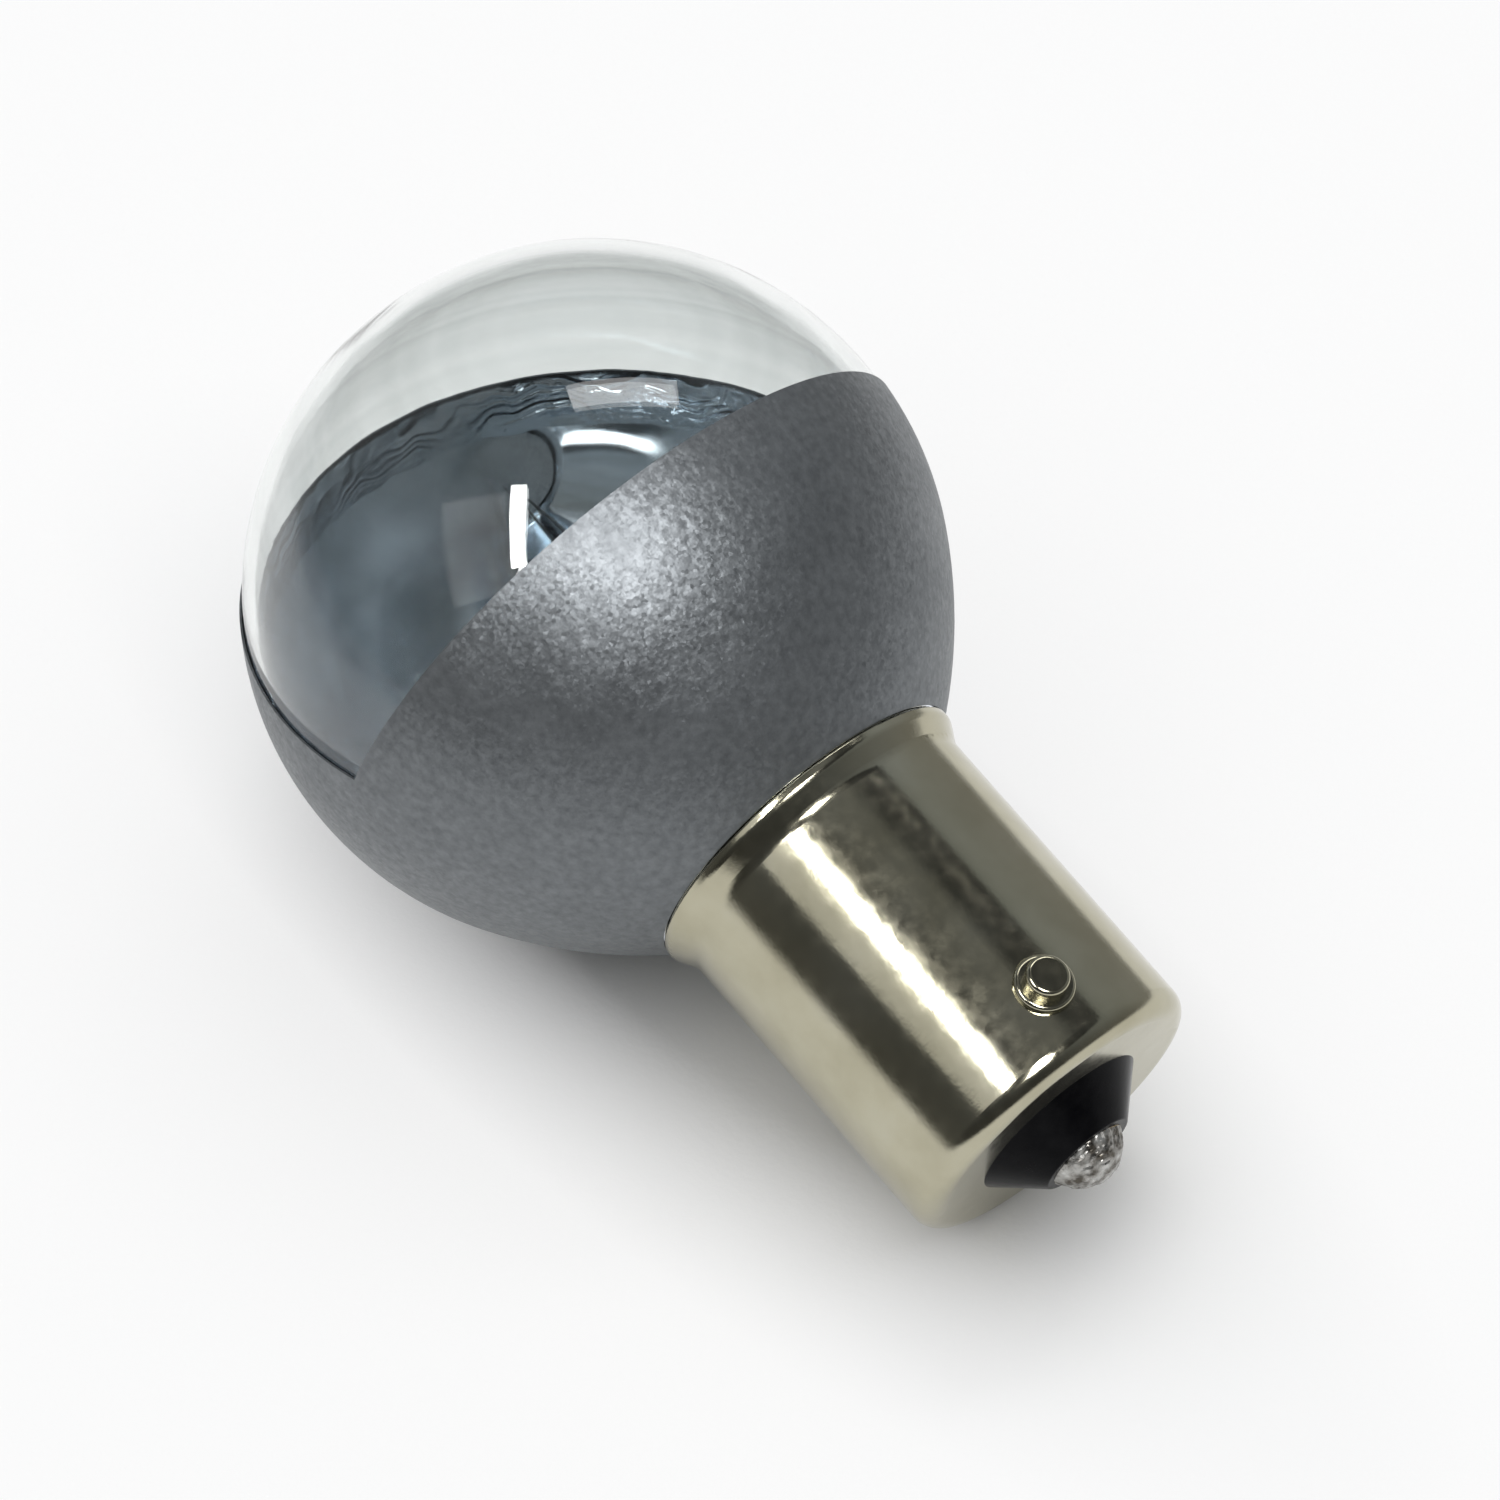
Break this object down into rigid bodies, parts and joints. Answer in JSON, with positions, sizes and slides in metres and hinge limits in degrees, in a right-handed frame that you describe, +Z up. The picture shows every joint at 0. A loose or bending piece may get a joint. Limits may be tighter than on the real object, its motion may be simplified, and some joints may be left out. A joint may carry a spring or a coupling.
{
  "type": "aircraft warning lamp",
  "caption": "Small globe signal lamp in a bayonet cap, its glass mirrored and painted except for a window that throws the light one way.",
  "frame": {"origin": "on the surface that the lamp lies on, under the middle of its box", "axes": "+Z up, +X along the lamp from the globe to the cap, +Y across it, away from the near side"},
  "size_m": [0.0504, 0.032, 0.0319],
  "materials": {
    "clear_glass": "clear blown glass",
    "mirror": "bright deposited film",
    "grey_paint": "satin grey paint with fine metal flake",
    "nickel": "bright nickel plate",
    "black_glass": "gloss",
    "brass": "plain",
    "solder": "rough cast tin",
    "dull_sheet": "dull rolled sheet",
    "cement": "matt",
    "lead_wire": "drawn wire",
    "tungsten": "drawn wire"
  },
  "bodies": {
    "root": {"glass_bulb": "clear_glass", "mirror_film": "mirror", "paint_coat": "grey_paint", "cap_shell": "nickel", "bayonet_pin_upper": "nickel", "bayonet_pin_lower": "nickel", "insulator": "black_glass", "contact_plate": "brass", "contact_solder": "solder", "basing_cement": "cement", "deflector_disc": "dull_sheet", "glass_stem": "clear_glass", "exhaust_tube": "clear_glass", "live_lead": "lead_wire", "return_lead": "lead_wire", "rim_solder": "solder", "filament": "tungsten", "filament_support": "lead_wire"}
  },
  "joints": []
}
